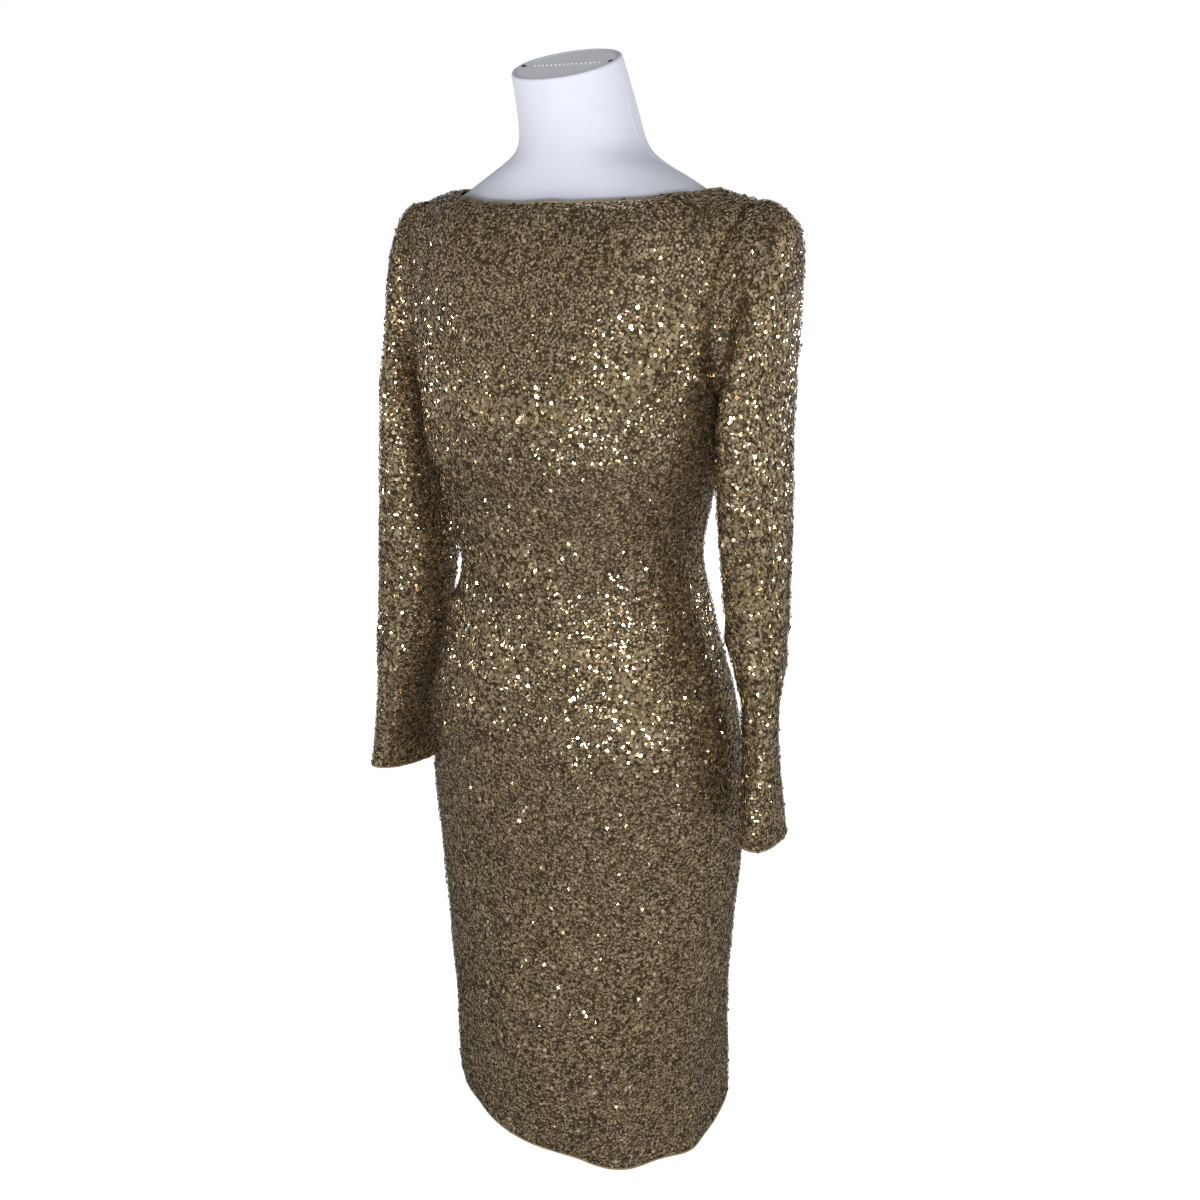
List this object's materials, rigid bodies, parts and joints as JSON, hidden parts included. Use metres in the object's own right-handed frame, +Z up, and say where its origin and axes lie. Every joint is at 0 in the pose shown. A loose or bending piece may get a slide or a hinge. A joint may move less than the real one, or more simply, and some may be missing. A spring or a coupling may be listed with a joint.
{
  "type": "cocktail dress on dress form",
  "caption": "Short long-sleeved sequinned cocktail dress with a wide boat neck and draped side folds, on a white limbless dress form with a short pole stand.",
  "frame": {"origin": "on the floor, at the middle of the underside of the stand's round base", "axes": "+Z up, the dress faces -Y, the wearer's left is +X"},
  "size_m": [0.4735, 0.3158, 1.1283],
  "materials": {
    "sequin_cloth": "metallic sequins on brown mesh",
    "form_cover": "matte white stretch knit",
    "stand_metal": "satin"
  },
  "bodies": {
    "root": {"dress_front": "sequin_cloth", "dress_back": "sequin_cloth", "sleeve_left": "sequin_cloth", "sleeve_right": "sequin_cloth", "form_torso": "form_cover", "form_neck_cap": "form_cover", "stand_pole": "stand_metal", "stand_socket": "stand_metal", "stand_base": "stand_metal"}
  },
  "joints": []
}
